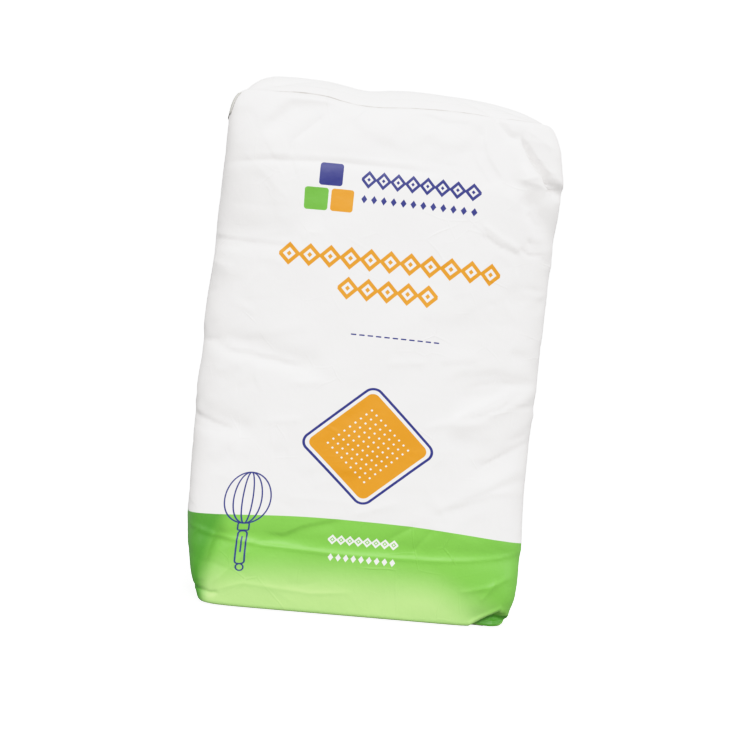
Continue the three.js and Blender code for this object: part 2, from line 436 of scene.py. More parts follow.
# Sharp creases of the front, as the photograph shows them.
FRONT_CREASES = (
    # Across the top, where the flat tube was folded.
    Crease(Profile.VALLEY, 3.0, 1.3, seen((-206, 515), (-170, 522), (-140, 526), (-60, 531), (70, 531))),
    Crease(Profile.RIDGE, 5.0, 0.8, seen((-196, 527), (-150, 533), (-60, 538), (60, 538))),
    Crease(Profile.VALLEY, 4.0, 1.3, seen((-120, 526), (-117, 552), (-80, 588))),
    Crease(Profile.FACET, 5.0, 1.7, seen((-160, 560), (-125, 596), (-62, 603))),
    Crease(Profile.HOLLOW, 5.0, 0.6, seen((20, 604), (60, 594), (98, 596))),
    Crease(Profile.FACET, 6.0, 0.8, seen((30, 574), (60, 562), (92, 566))),
    Crease(Profile.FACET, 6.0, 0.8, seen((-58, 592), (-36, 570), (10, 560))),
    # Left side.
    Crease(Profile.HOLLOW, 3.0, 1.3, seen((-212, 434), (-160, 430), (-95, 430))),
    Crease(Profile.VALLEY, 2.5, 0.9, seen((-206, 420), (-160, 420))),
    Crease(Profile.RIDGE, 2.5, 1.3, seen((-200, 404), (-180, 396), (-165, 352), (-158, 340))),
    Crease(Profile.RIDGE, 2.5, 0.9, seen((-166, 356), (-138, 345))),
    Crease(Profile.HOLLOW, 3.5, 2.2, seen((-212, 308), (-180, 311), (-165, 300), (-140, 298), (-70, 290))),
    Crease(Profile.RIDGE, 3.0, 1.0, seen((-96, 268), (-45, 273))),
    Crease(Profile.RIDGE, 3.0, 0.9, seen((-118, 219), (-70, 226))),
    Crease(Profile.HOLLOW, 4.0, 2.4, seen((-212, 228), (-190, 216), (-146, 205))),
    Crease(Profile.VALLEY, 2.5, 1.1, seen((-206, 204), (-160, 196))),
    # Top right corner, slumped under the dented rim.
    Crease(Profile.FOLD, 6.0, 2.6, seen((114, 608), (124, 595), (138, 582), (152, 578)), 1.5),
    Crease(Profile.FOLD, 3.4, 15.0,
           seen((148, 590), (155, 577), (166, 560), (179, 543), (193, 528), (212, 512)), 4.6),
    Crease(Profile.RIDGE, 4.0, 1.2, seen((156, 594), (182, 580), (206, 560))),
    Crease(Profile.HOLLOW, 6.0, 1.9, seen((108, 596), (109, 574), (116, 556), (140, 526))),
    Crease(Profile.HOLLOW, 5.0, 0.9, seen((92, 572), (100, 552), (124, 522))),
    Crease(Profile.RIDGE, 2.4, 1.1, seen((146, 534), (158, 535), (180, 541), (206, 524))),
    Crease(Profile.RIDGE, 2.6, 1.0, seen((152, 534), (176, 531), (206, 521))),
    Crease(Profile.VALLEY, 2.5, 1.6, seen((168, 499), (192, 468))),
    Crease(Profile.FOLD, 3.0, 2.0, seen((168, 468), (206, 434)), 1.6),
    Crease(Profile.RIDGE, 2.5, 1.5, seen((112, 479), (140, 463), (168, 451))),
    Crease(Profile.HOLLOW, 3.0, 1.4, seen((112, 470), (140, 456), (172, 446))),
    Crease(Profile.FOLD, 2.5, 1.6, seen((160, 455), (180, 445), (198, 450))),
    Crease(Profile.VALLEY, 2.5, 1.3, seen((176, 409), (206, 404))),
    Crease(Profile.VALLEY, 2.5, 1.3, seen((206, 402), (188, 378))),
    # Right side, half way up.
    Crease(Profile.RIDGE, 3.0, 1.0, seen((16, 303), (70, 309))),
    Crease(Profile.FACET, 3.0, 0.8, seen((78, 309), (132, 316))),
    Crease(Profile.FACET, 4.5, 1.0, seen((86, 284), (110, 300), (150, 306), (210, 296))),
    Crease(Profile.FOLD, 6.0, 1.0, seen((112, 282), (150, 290), (212, 292)), 1.5),
    Crease(Profile.RIDGE, 2.2, 1.3, seen((98, 240), (125, 258), (145, 268), (186, 290))),
    Crease(Profile.RIDGE, 2.2, 1.3, seen((138, 247), (160, 258), (178, 266), (206, 294))),
    Crease(Profile.HOLLOW, 3.5, 1.3, seen((112, 246), (160, 265), (194, 292))),
    Crease(Profile.VALLEY, 2.5, 1.2, seen((176, 266), (206, 265))),
    Crease(Profile.RIDGE, 4.0, 1.1, seen((66, 228), (90, 238), (120, 242), (156, 243))),
    Crease(Profile.FOLD, 3.5, 2.0, seen((142, 190), (180, 210), (210, 226)), 1.5),
    Crease(Profile.VALLEY, 2.5, 1.3, seen((176, 223), (204, 234))),
    Crease(Profile.FACET, 4.0, 1.4, seen((86, 126), (140, 156), (206, 190))),
    Crease(Profile.RIDGE, 3.5, 1.1, seen((106, 138), (160, 160), (206, 172))),
    Crease(Profile.RIDGE, 4.0, 0.9, seen((-4, 119), (54, 141))),
    # Across the foot, where the flat tube was folded, and the end below it.
    Crease(Profile.RIDGE, 2.0, 1.7,
           seen((-222, 92), (-192, 84), (-160, 77), (-100, 72), (-10, 71), (60, 73))),
    Crease(Profile.RIDGE, 2.0, 1.5, seen((10, 72), (100, 75), (140, 79), (180, 85), (224, 96))),
    Crease(Profile.HOLLOW, 6.0, 2.6, seen((-178, -6), (-166, 50), (-156, 92))),
    Crease(Profile.RIDGE, 5.0, 1.2, seen((-160, 14), (-112, 70))),
    Crease(Profile.HOLLOW, 5.0, 1.7, seen((-104, 88), (-80, 88), (-60, 100), (-10, 116))),
    Crease(Profile.VALLEY, 2.6, 1.0, seen((32, 86), (78, 118))),
    Crease(Profile.VALLEY, 2.6, 1.0, seen((72, 79), (96, 114))),
    Crease(Profile.RIDGE, 3.0, 1.3, seen((130, 39), (170, 50), (204, 68))),
    Crease(Profile.RIDGE, 3.0, 1.1, seen((160, 30), (180, 60))),
    Crease(Profile.RIDGE, 2.4, 0.6, seen((47, -10), (47, 66))),
    Crease(Profile.RIDGE, 2.6, 0.9, seen((-166, 6), (-120, 24), (-40, 20), (20, 28))),
    Crease(Profile.HOLLOW, 5.0, 12.0, seen((146, -5), (160, 5), (174, 14), (187, 21), (206, 8))),
    Crease(Profile.RIDGE, 2.0, 1.8, seen((146, -1), (160, 9), (187, 25), (208, 11))),
    Crease(Profile.VALLEY, 1.8, 2.8, seen((-188, 14), (-174, 8), (-160, 6), (-146, 9))),
)


@dataclass(frozen=True)
class Crumple:
    """Small creases strewn over the whole wall, more of them towards its sides and ends."""

    count: int = 320
    seed: int = 11
    shortest: float = 18.0
    longest: float = 95.0
    thinnest: float = 2.6
    thickest: float = 7.0
    steepest: float = 0.2
    end_margin: float = 12.0
    front_share: float = 0.25
    front_steepness: float = 0.45
    turn: float = 0.55
    bend: float = 0.12

    def creases(self, half_girth: float, top: float) -> list[Crease]:
        """Draws the creases.

        Args:
            half_girth: Half the way round the sack.
            top: Height of the rim.

        Returns:
            The creases, spread round the sack.
        """
        random = np.random.default_rng(self.seed)
        profiles = (Profile.VALLEY, Profile.RIDGE, Profile.FACET)
        made = []
        while len(made) < self.count:
            girth = random.uniform(-half_girth, half_girth)
            height = random.uniform(self.end_margin, top - self.end_margin)
            sideness = abs(math.sin(math.pi * girth / half_girth)) ** 2
            if random.uniform() > self.front_share + (1.0 - self.front_share) * sideness:
                continue
            length = random.uniform(self.shortest, self.longest)
            turn = random.normal(0.0, self.turn)
            bend = random.normal(0.0, self.bend)
            width = random.uniform(self.thinnest, self.thickest)
            steepness = self.steepest * random.uniform(0.25, 1.0)
            steepness *= self.front_steepness + (1.0 - self.front_steepness) * sideness
            run = (0.5 * length * math.cos(turn), 0.5 * length * math.sin(turn))
            middle = (girth - bend * run[1], height + bend * run[0])
            line = ((girth - run[0], height - run[1]), middle, (girth + run[0], height + run[1]))
            made.append(Crease(profiles[int(random.integers(3))], width, width * steepness, line))
        return made


@dataclass(frozen=True)
class SackSkin:
    """The printed paper skin with its contents: one closed body on a fine lattice.

    Columns, layers and rows count its cells. The swell is the paper's broad waves, the groove the
    fold along the top's rim, the flaps those under the top's strip, and the seam the lap at the back.
    On the print, back_print keeps the back of the top clear of the front's shapes and base_print
    keeps the base in the green.
    """

    form: SackForm = SackForm()
    crumple: Crumple = Crumple()
    front_columns: int = 224
    back_columns: int = 56
    layers: int = 22
    rows: int = 262
    end_rings: int = 20
    end_crowding: float = 1.5
    edge_rows: int = 5
    crowding: float = 0.06
    crease_margin: float = 34.0
    swell_seed: int = 5
    swell_waves: int = 14
    swell_turns: tuple[int, int] = (3, 12)
    swell_climbs: Place = (1.0, 7.0)
    swell_calming: float = 0.25
    swell_least: float = 0.5
    swell: float = 1.1
    calm_ends: float = 26.0
    front_turn: float = 0.4
    groove_depth: float = 1.5
    groove_width: float = 1.1
    groove_inset: float = 1.6
    groove_share: float = 0.55
    groove_deepest: float = -32.0
    groove_reach: float = 30.0
    groove_sway: float = 0.25
    groove_waves: Place = (17.0, 41.0)
    flap_step: float = 0.35
    flap_start: Place = (2.0, 6.0)
    flap_edges: tuple[float, ...] = (-128.0, -84.0, -60.0, -10.0, 70.0, 112.0)
    flap_sharpness: float = 0.9
    seam_girth: float = 452.0
    seam_step: float = 0.7
    seam_half: float = 1.5
    back_print: float = 2000.0
    base_print: float = -20.0
    droop: float = 19.5
    droop_high_share: float = 0.3
    tilt: float = 0.008
    tilt_height: float = 300.0

    def ring(self) -> tuple[Array, Array]:
        """Box coordinates round the border, from the left front corner by way of the right.

        Returns:
            The coordinates across the width and through the depth.
        """
        front = 2.0 * np.arange(self.front_columns) / self.front_columns - 1.0
        back = 2.0 * np.arange(self.back_columns) / self.back_columns - 1.0
        deep = 2.0 * np.arange(self.layers) / self.layers - 1.0
        side = np.ones(self.layers)
        across = np.concatenate([front, side, -back, -side])
        through = np.concatenate([np.full(front.shape, -1.0), deep, np.ones(back.shape), -deep])
        return across, through

    def girths(self) -> tuple[Array, Array, float]:
        """Paper distance round the sack.

        Returns:
            The distance at each point of the ring, the length of each step after it, and half
            of the whole way round.
        """
        across, through = self.ring()
        middle = np.full(across.shape, self.form.rim_height / 2.0)
        x, y = self.form.section(across, through, middle)
        steps = np.hypot(np.roll(x, -1) - x, np.roll(y, -1) - y)
        along = np.concatenate([[0.0], np.cumsum(steps)[:-1]])
        along -= along[self.front_columns // 2]
        half = float(steps.sum()) / 2.0
        return np.where(along >= half, along - 2.0 * half, along), steps, half

    def shares(self) -> Array:
        """Shares of the height at which the rows lie, closer together near the ends.

        Returns:
            The shares, from 0 to 1.
        """
        edge = self.form.edge_radius / self.form.rim_height
        turns = np.arange(self.edge_rows) / self.edge_rows
        rounding = edge * (1.0 - np.cos(turns * math.pi / 2.0))
        even = np.linspace(0.0, 1.0, self.rows - 2 * self.edge_rows + 1)
        walls = edge + (1.0 - 2.0 * edge) * (even - self.crowding * np.sin(2.0 * math.pi * even))
        return np.concatenate([rounding, walls, 1.0 - rounding[::-1]])

    def creased(self, creases: tuple[Crease, ...] | list[Crease], along: Array, height: Array) -> Array:
        """Outward moves of the wall from creases.

        Args:
            creases: The creases.
            along: Distance round the sack of each point, or its x for creases of the front.
            height: Height of each point.

        Returns:
            The move of each point.
        """
        moved = np.zeros(along.shape)
        margin = self.crease_margin
        for crease in creases:
            low_a, high_a = min(p[0] for p in crease.line), max(p[0] for p in crease.line)
            low_h, high_h = min(p[1] for p in crease.line), max(p[1] for p in crease.line)
            near = ((along > low_a - margin) & (along < high_a + margin)
                    & (height > low_h - margin) & (height < high_h + margin))
            moved[near] += crease.relief(along[near], height[near])
        return moved

    def relief(self, girth: Array, height: Array) -> Array:
        """Outward moves of the wall from strewn creases, the swell of the paper and the back seam.

        Args:
            girth: Distance round the sack of each point.
            height: Height of each point.

        Returns:
            The move of each point.
        """
        half = self.girths()[2]
        moved = self.creased(self.crumple.creases(half, self.form.rim_height), girth, height)
        random = np.random.default_rng(self.swell_seed)
        for _ in range(self.swell_waves):
            turns = int(random.integers(*self.swell_turns))
            climbs = random.uniform(*self.swell_climbs)
            phase, lift = random.uniform(0.0, 2.0 * math.pi, 2)
            size = self.swell / (1.0 + self.swell_calming * (turns + climbs))
            size *= random.uniform(self.swell_least, 1.0)
            moved += size * (np.sin(turns * math.pi * girth / half + phase)
                             * np.sin(climbs * 2.0 * math.pi * height / self.form.rim_height + lift))
        seam = self.seam_girth
        lap = smooth_step(seam - self.seam_half, seam + self.seam_half, np.abs(girth)) * (girth > 0)
        from_top = self.form.rim_height - height
        ends = smooth_step(0.0, self.calm_ends, height) * smooth_step(0.0, self.calm_ends, from_top)
        return (moved + self.seam_step * lap) * ends

    def fold_depth(self, is_front: Array, x: Array, height: Array) -> Array:
        """How deep the broad folds press.

        Args:
            is_front: Whether each point is on the front.
            x: Place of each point across the width.
            height: Height of each point.

        Returns:
            The depth at each point, negative where the paper stands out.
        """
        total = np.zeros(x.shape)
        for wall, start, end, width, depth in BROAD_FOLDS:
            run_x, run_z = end[0] - start[0], end[1] - start[1]
            share = ((x - start[0]) * run_x + (height - start[1]) * run_z) / (run_x ** 2 + run_z ** 2)
            share = np.clip(share, 0.0, 1.0)
            offset = np.hypot(x - start[0] - share * run_x, height - start[1] - share * run_z)
            total += np.where(is_front == (wall == "front"), depth * bell(offset, width), 0.0)
        return total

    def wall(self, across: Array, through: Array, share: Array, girth: Array) -> Array:
        """Places on the wall, with folds and creases.

        Args:
            across: Box coordinate of each point across the width.
            through: Box coordinate of each point through the depth.
            share: Share of the height of each point.
            girth: Distance round the sack of each point.

        Returns:
            The places in millimetres.
        """
        form = self.form
        rim_x, _ = form.section(across, through, np.full(across.shape, form.rim_height))
        rim = form.rim(rim_x, through)
        height = share * rim
        x, y = form.section(across, through, height * form.rim_height / rim)
        from_edge = np.minimum(height, rim - height)
        inside = np.clip(form.edge_radius - from_edge, 0.0, form.edge_radius)
        rounding = form.edge_radius - np.sqrt(form.edge_radius ** 2 - inside ** 2)
        facing = np.abs(y) / form.half_depth(height)
        press = rounding + self.fold_depth(through < 0, x, height) * facing - self.relief(girth, height)
        front = smooth_step(0.0, self.front_turn, facing) * (through < 0)
        press = press - self.creased(FRONT_CREASES, x, height) * front
        out_x, out_y = form.outward(x, y)
        return np.stack([x - press * out_x, y - press * out_y, form.base_lift + height], axis=-1)

    def end_places(self, border: Array, across: Array, through: Array, is_top: bool) -> Array:
        """Places on an end: rings of its border that shrink to its middle.

        Args:
            border: Places of the ring where the wall meets the end.
            across: Box coordinate of each of them across the width.
            through: Box coordinate of each of them through the depth.
            is_top: Whether it is the domed top end.

        Returns:
            The places, ring by ring from the border, with the middle last.
        """
        turns = np.arange(1, self.end_rings + 1) / self.end_rings
        reach = (1.0 - turns ** self.end_crowding)[:, None]
        x, y = border[:, 0] * reach, border[:, 1] * reach
        z = np.full(x.shape, self.form.base_lift)
        if is_top:
            z = z + self.form.rim(x, through * reach) + self.form.dome(x, across * reach, through * reach)
            z = z + self.end_relief(x, border[:, 1] - y)
        return np.stack([x, y, z], axis=-1).reshape(-1, 3)[:-(border.shape[0] - 1)]

    def end_relief(self, x: Array, inset: Array) -> Array:
        """Relief of the top end: the groove of the fold along its rim and the edges of its flaps.

        Args:
            x: Place of each point across the sack.
            inset: How far it lies inside the rim, through the depth.

        Returns:
            The rise of each point.
        """
        inwards = np.abs(inset)
        short, long = self.groove_waves
        middle = bell(x - self.groove_deepest, self.groove_reach)
        sway = self.groove_sway * np.sin(x / short) * np.sin(x / long + 1.0)
        deeper = self.groove_share + (1.0 - self.groove_share) * middle + sway
        groove = -self.groove_depth * deeper * bell(inwards - self.groove_inset, self.groove_width)
        steps = sum((-1.0) ** turn * np.tanh((x - edge) / self.flap_sharpness)
                    for turn, edge in enumerate(self.flap_edges))
        return groove + 0.5 * self.flap_step * steps * smooth_step(*self.flap_start, inwards)

    def build(self) -> bpy.types.Mesh:
        """Makes the closed mesh and the paper coordinates of its print.

        Returns:
            The mesh.
        """
        across, through = self.ring()
        girth, steps, _ = self.girths()
        shares = self.shares()
        count = across.size
        levels = shares.size
        walls = self.wall(np.tile(across, (levels, 1)), np.tile(through, (levels, 1)),
                          np.tile(shares[:, None], (1, count)), np.tile(girth, (levels, 1)))
        base = self.end_places(walls[0], across, through, False)
        top = self.end_places(walls[-1], across, through, True)
        points = np.concatenate([walls.reshape(-1, 3), base, top])
        faces = self.wall_quads(count, levels).tolist()
        faces += [face[::-1] for face in self.end_faces(levels * count, 0, count)]
        faces += self.end_faces(levels * count + base.shape[0], (levels - 1) * count, count)
        mesh = mesh_from("printed_sack", points, faces)
        self.lay_print(mesh, points, girth, steps, levels)
        return mesh

    def wall_quads(self, count: int, levels: int) -> Array:
        """Quads of the wall, each facing outwards.

        Args:
            count: Points in a ring.
            levels: Number of rings.

        Returns:
            The quads, as numbers of points.
        """
        turn = np.arange(count)
        after = (turn + 1) % count
        rows = np.arange(levels - 1)[:, None] * count
        corners = [rows + turn, rows + after, rows + count + after, rows + count + turn]
        return np.stack(corners, axis=-1).reshape(-1, 4)

    def end_faces(self, first: int, ring_start: int, count: int) -> list[list[int]]:
        """Faces of an end, facing up.

        Args:
            first: Number of the end's first own point.
            ring_start: Number of the first point of the ring that borders it.
            count: Points in a ring.

        Returns:
            Quads between the rings and triangles round the middle.
        """
        turn = np.arange(count)
        after = (turn + 1) % count
        starts = np.concatenate([[ring_start], first + count * np.arange(self.end_rings - 1)])[:, None]
        outer, inner = starts[:-1], starts[1:]
        quads = np.stack([outer + turn, outer + after, inner + after, inner + turn], axis=-1).reshape(-1, 4)
        middle = np.full(count, first + count * (self.end_rings - 1))
        fan = np.stack([starts[-1] + turn, starts[-1] + after, middle], axis=-1)
        return quads.tolist() + fan.tolist()

    def print_height(self, girth: Array, height: Array) -> Array:
        """Height on the print: the paper is drawn down towards the sides of the filled sack.

        Args:
            girth: Distance round the sack of each point.
            height: Height of each point.

        Returns:
            The height of each point on the flat paper.
        """
        half = self.girths()[2]
        low = np.clip(1.0 - height / self.tilt_height, 0.0, 1.0)
        round_way = np.sin(math.pi * girth / half)
        share = self.droop_high_share + (1.0 - self.droop_high_share) * low
        slope = self.tilt * half / math.pi * round_way
        return height + self.droop * share * np.abs(round_way) ** 3 + slope * low

    def lay_print(self, mesh: bpy.types.Mesh, points: Array, girth: Array, steps: Array, levels: int) -> None:
        """Stores paper coordinates in metres, as the UV map that the print is drawn on.

        Args:
            mesh: The skin.
            points: Its points in millimetres.
            girth: Distance round the sack at each point of the ring.
            steps: Length of the step after each point of the ring.
            levels: Number of rings.
        """
        count = girth.size
        wall_faces = count * (levels - 1)
        turn = np.tile(np.arange(count), levels - 1)
        row = np.repeat(np.arange(levels - 1), count)
        near = girth[turn]
        far = near + steps[turn]
        z = points[:, 2].reshape(-1)
        low_near = z[row * count + turn]
        low_far = z[row * count + (turn + 1) % count]
        high_near = z[(row + 1) * count + turn]
        high_far = z[(row + 1) * count + (turn + 1) % count]
        corners = [(near, low_near), (far, low_far), (far, high_far), (near, high_near)]
        flat = np.stack([np.stack([g, self.print_height(g, h)], axis=-1) for g, h in corners], axis=1)
        values = np.zeros((len(mesh.loops), 2))
        values[:wall_faces * 4] = flat.reshape(-1, 2)
        loops = np.zeros(len(mesh.loops), dtype=np.int32)
        mesh.loops.foreach_get("vertex_index", loops)
        rest = loops[wall_faces * 4:]
        is_top = points[rest, 2] > self.form.rim_height / 2.0
        half_depth = float(self.form.half_depth(np.array(self.form.rim_height)))
        inwards = half_depth - np.abs(points[rest, 1])
        values[wall_faces * 4:, 0] = points[rest, 0] + self.back_print * (points[rest, 1] > 0.0)
        values[wall_faces * 4:, 1] = np.where(is_top, self.form.rim_height + inwards, self.base_print)
        layer = mesh.uv_layers.new(name="paper")
        layer.data.foreach_set("uv", (values * MM).astype(np.float32).ravel())


@dataclass(frozen=True)
class ValveLip:
    """The paper lip that stands proud at the filling valve, on the left wall under the rim.

    Its spans are box coordinates through the depth, backwards and forwards from the middle.
    """

    skin: SackSkin
    paper: float = 0.9
    gap: float = 0.25
    flare: float = 0.2
    rear_span: float = 0.6
    front_span: float = 0.84
    front_span_low: float = 0.66
    flare_from: float = 0.3
    flare_power: float = 1.5
    across_count: int = 24
    up_count: int = 14
    foot_height: float = 559.6
    wave: float = 0.12
    wave_turn: float = 9.0
    girth: float = -364.0

    def build(self) -> bpy.types.Mesh:
        """Makes the lip as a closed thin sheet beside the wall.

        Returns:
            The mesh.
        """
        through = np.linspace(0.0, 1.0, self.across_count + 1)
        foot_share = self.foot_height / self.skin.form.rim_height
        head_share = 1.0 - self.skin.form.edge_radius / self.skin.form.rim_height
        share = np.linspace(foot_share, head_share, self.up_count + 1)
        grid_t, grid_s = np.meshgrid(through, share, indexing="ij")
        up = np.linspace(0.0, 1.0, self.up_count + 1)[None, :]
        front = self.front_span_low + (self.front_span - self.front_span_low) * np.sqrt(up)
        grid_t = self.rear_span - (self.rear_span + front) * grid_t
        smooth = SackSkin(form=self.skin.form, crumple=Crumple(count=0), swell=0.0)
        places = smooth.wall(np.full(grid_t.shape, -1.0), grid_t, grid_s, np.full(grid_t.shape, self.girth))
        wave = self.wave * np.sin(grid_t * self.wave_turn) * (1.0 - up)
        flare = self.flare * smooth_step(self.front_span, self.flare_from, -grid_t)
        under = places.copy()
        under[..., 0] -= self.gap + flare * (1.0 - up) ** self.flare_power + wave
        outer = under.copy()
        outer[..., 0] -= self.paper
        points = np.concatenate([under.reshape(-1, 3), outer.reshape(-1, 3)])
        return mesh_from("valve_lip", points, sheet_quads(self.across_count, self.up_count).tolist())


def sheet_quads(across: int, up: int) -> Array:
    """Quads of a closed thin sheet.

    Args:
        across: Cells across the sheet.
        up: Cells up the sheet.

    Returns:
        Quads on the points of the under face followed by those of the outer face.
    """
    under = np.arange((across + 1) * (up + 1)).reshape(across + 1, up + 1)
    outer = under + under.size
    faces = [np.stack([outer[:-1, :-1], outer[1:, :-1], outer[1:, 1:], outer[:-1, 1:]], axis=-1),
             np.stack([under[:-1, :-1], under[:-1, 1:], under[1:, 1:], under[1:, :-1]], axis=-1)]
    edges = [(under[:, 0], outer[:, 0]), (under[-1, :], outer[-1, :]),
             (under[::-1, -1], outer[::-1, -1]), (under[0, ::-1], outer[0, ::-1])]
    rims = [np.stack([low[:-1], low[1:], high[1:], high[:-1]], axis=-1) for low, high in edges]
    return np.concatenate([part.reshape(-1, 4) for part in (*faces, *rims)])


class End(Enum):
    """An end of the sack that a cover strip is glued to."""

    TOP = 1.0
    BOTTOM = -1.0


@dataclass(frozen=True)
class CoverStrip:
    """A strip of paper glued over the folds of one end, its short edges cut to small teeth.

    A flat grid of cells is cast onto the sack from outside; points in the end zone make the teeth.
    """

    end: End
    length: float
    width: float
    centre_x: float = 0.0
    paper: float = 0.25
    gap: float = 0.05
    tooth_pitch: float = 3.4
    tooth_depth: float = 1.5
    ripple: float = 0.05
    ripple_size: float = 50.0 / 3.0
    end_zone: float = 0.2
    cast_height: float = 300.0
    cell_length: float = 2.0
    seed: int = 3

    def tree(self) -> bpy.types.NodeTree:
        """Makes the node tree that lays a toothed strip on the sack, cast along the vertical.

        Returns:
            The tree, with the strip's sizes as its inputs.
        """
        tree = bpy.data.node_groups.new(f"laid_strip_{self.end.name.lower()}", "GeometryNodeTree")
        tree.interface.new_socket("Geometry", in_out="OUTPUT", socket_type="NodeSocketGeometry")
        kinds = {"Sack": "NodeSocketObject", "Material": "NodeSocketMaterial", "Seed": "NodeSocketInt"}
        sizes = ("Length", "Width", "Paper", "Gap", "Tooth pitch", "Tooth depth", "Ripple", "Middle", "Side")
        for name in (*kinds, *sizes):
            tree.interface.new_socket(name, in_out="INPUT", socket_type=kinds.get(name, "NodeSocketFloat"))
        given = tree.nodes.new("NodeGroupInput").outputs
        cells = {"Vertices X": int(self.length / self.cell_length),
                 "Vertices Y": 2 * int(self.width / self.tooth_pitch) + 1}
        flat = add_node(tree, "GeometryNodeMeshGrid",
                        inputs={"Size X": given["Length"], "Size Y": given["Width"], **cells})
        cast = self.cast(tree, given)
        laid = add_node(tree, "GeometryNodeSetPosition", inputs={"Geometry": flat, "Position": cast})
        rise = work_out(tree, given["Paper"], ("MULTIPLY", given["Side"]))
        upward = add_node(tree, "ShaderNodeCombineXYZ", inputs={"Z": rise})
        thick = add_node(tree, "GeometryNodeExtrudeMesh",
                         inputs={"Mesh": laid, "Offset": upward, "Offset Scale": 1.0, "Individual": False})
        under = add_node(tree, "GeometryNodeFlipFaces", inputs={"Mesh": laid})
        both = tree.nodes.new("GeometryNodeJoinGeometry")
        tree.links.new(thick, both.inputs[0])
        tree.links.new(under, both.inputs[0])
        closed = add_node(tree, "GeometryNodeMergeByDistance",
                          inputs={"Geometry": both.outputs[0], "Distance": 0.01 * MM})
        real = add_node(tree, "GeometryNodeRealizeInstances", inputs={"Geometry": closed})
        dressed = add_node(tree, "GeometryNodeSetMaterial",
                           inputs={"Geometry": real, "Material": given["Material"]})
        tree.links.new(dressed, tree.nodes.new("NodeGroupOutput").inputs[0])
        return tree

    def cast(self, tree: bpy.types.NodeTree, given: Any) -> bpy.types.NodeSocket:
        """Adds the nodes that cut the teeth and find each point's place on the sack.

        Args:
            tree: The strip's node tree.
            given: The tree's inputs, by name.

        Returns:
            The place of each point.
        """
        place = add_node(tree, "GeometryNodeInputPosition")
        parts = tree.nodes.new("ShaderNodeSeparateXYZ")
        tree.links.new(place, parts.inputs[0])
        x, y = parts.outputs[0], parts.outputs[1]
        half_pitch = work_out(tree, given["Tooth pitch"], ("DIVIDE", 2.0))
        tooth = work_out(tree, y, ("PINGPONG", half_pitch), ("DIVIDE", half_pitch))
        border = work_out(tree, given["Length"], ("DIVIDE", 2.0), ("SUBTRACT", self.end_zone * MM))
        is_end = work_out(tree, x, ("ABSOLUTE",), ("GREATER_THAN", border))
        cut = work_out(tree, x, ("SIGN",), ("MULTIPLY", is_end), ("MULTIPLY", tooth),
                       ("MULTIPLY", given["Tooth depth"]))
        moved = work_out(tree, x, ("SUBTRACT", cut), ("ADD", given["Middle"]))
        high = work_out(tree, given["Side"], ("MULTIPLY_ADD", 0.5, self.cast_height * MM))
        start = add_node(tree, "ShaderNodeCombineXYZ", inputs={"X": moved, "Y": y, "Z": high})
        back = work_out(tree, given["Side"], ("MULTIPLY", -1.0))
        down = add_node(tree, "ShaderNodeCombineXYZ", inputs={"Z": back})
        sack = add_node(tree, "GeometryNodeObjectInfo", inputs={"Object": given["Sack"]}, out="Geometry")
        hit = add_node(tree, "GeometryNodeRaycast", inputs={
            "Target Geometry": sack, "Source Position": start, "Ray Direction": down, "Ray Length": 1.0,
        }, out="Hit Position")
        noise = add_node(tree, "ShaderNodeTexNoise", {"noise_dimensions": "4D"}, {
            "Vector": start, "W": given["Seed"], "Scale": 1.0 / (self.ripple_size * MM), "Detail": 1.0})
        lift = work_out(tree, noise, ("MULTIPLY", given["Ripple"]), ("ADD", given["Gap"]),
                        ("MULTIPLY", given["Side"]))
        return work_out(tree, hit, ("ADD", add_node(tree, "ShaderNodeCombineXYZ", inputs={"Z": lift})))

    def build(self, name: str, sack: bpy.types.Object, material: bpy.types.Material) -> bpy.types.Object:
        """Lays the strip on the sack and turns it to a plain mesh.

        Args:
            name: Name of the piece.
            sack: The skin to lie on.
            material: Its paper.

        Returns:
            The piece.
        """
        tree = self.tree()
        source = new_object(f"{name}_source", bpy.data.meshes.new(name), None)
        modifier = source.modifiers.new("strip", "NODES")
        modifier.node_group = tree
        values = {
            "Sack": sack, "Material": material, "Seed": self.seed, "Length": self.length * MM,
            "Width": self.width * MM, "Paper": self.paper * MM, "Gap": self.gap * MM,
            "Tooth pitch": self.tooth_pitch * MM, "Tooth depth": self.tooth_depth * MM,
            "Ripple": self.ripple * MM, "Middle": self.centre_x * MM, "Side": self.end.value,
        }
        for item in tree.interface.items_tree:
            if item.in_out == "INPUT":
                modifier[item.identifier] = values[item.name]
        graph = bpy.context.evaluated_depsgraph_get()
        mesh = bpy.data.meshes.new_from_object(source.evaluated_get(graph))
        source.modifiers.remove(modifier)
        bpy.data.objects.remove(source)
        shell = bmesh.new()
        shell.from_mesh(mesh)
        bmesh.ops.recalc_face_normals(shell, faces=shell.faces)
        shell.to_mesh(mesh)
        shell.free()
        mesh.name = name
        return new_object(name, mesh, material)


class Ink(Enum):
    """Inks of the print, as sRGB, with the greens of the painted shade and painted reflection on the green
    foot.
    """

    ORANGE = "d58c07"
    NAVY = "1f2575"
    WHITE = "eeeeea"
    LEAF = "66a835"
    # Painted shade for the green foot.
    GREEN_PAINTED_SHADE = "4a9424"
    GREEN_MID = "79bb45"
    # Painted reflection of the bright floor for the green foot.
    GREEN_PAINTED_REFLECTION = "b0d983"


